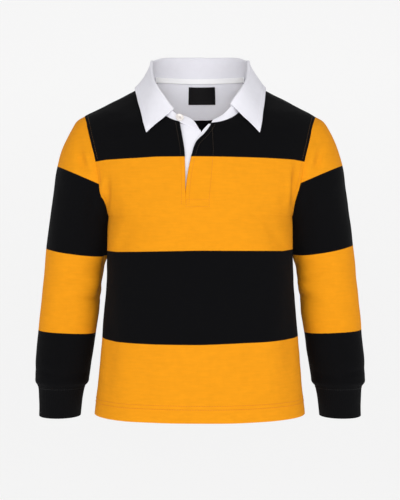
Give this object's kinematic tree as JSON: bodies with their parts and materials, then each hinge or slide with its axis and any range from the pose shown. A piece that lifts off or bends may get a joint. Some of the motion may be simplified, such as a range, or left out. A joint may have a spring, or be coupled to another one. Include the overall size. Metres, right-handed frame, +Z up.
{
  "type": "rugby shirt",
  "caption": "Child's long-sleeved striped rugby shirt with a white twill collar, open placket, ribbed cuffs and straight hem, filled out as if worn.",
  "frame": {"origin": "on the centre plane at the level where the shoulder seams meet the neck, over the shoulder seams", "axes": "+Z up the body towards the collar, -Y the way the front faces, +X towards the wearer's left sleeve"},
  "size_m": [0.4324, 0.179, 0.4785],
  "materials": {
    "gold_jersey": "matte cotton jersey, gold with black bands",
    "black_jersey": "matte cotton jersey, black with gold bands",
    "black_rib": "ribbed knit, matte",
    "white_twill": "woven cotton twill, matte",
    "white_tape": "woven herringbone tape",
    "white_lining": "fine white jersey",
    "black_label": "woven satin, slight sheen",
    "cream_button": "polished resin"
  },
  "bodies": {
    "root": {"front": "gold_jersey", "back": "gold_jersey", "sleeve_left": "black_jersey", "sleeve_right": "black_jersey", "cuff_left": "black_rib", "cuff_right": "black_rib", "collar_stand": "white_twill", "collar_fall": "white_twill", "placket_under": "white_twill", "placket_facing": "white_twill", "neck_tape": "white_tape", "half_moon": "white_lining", "neck_label": "black_label", "neck_button": "cream_button"}
  },
  "joints": []
}
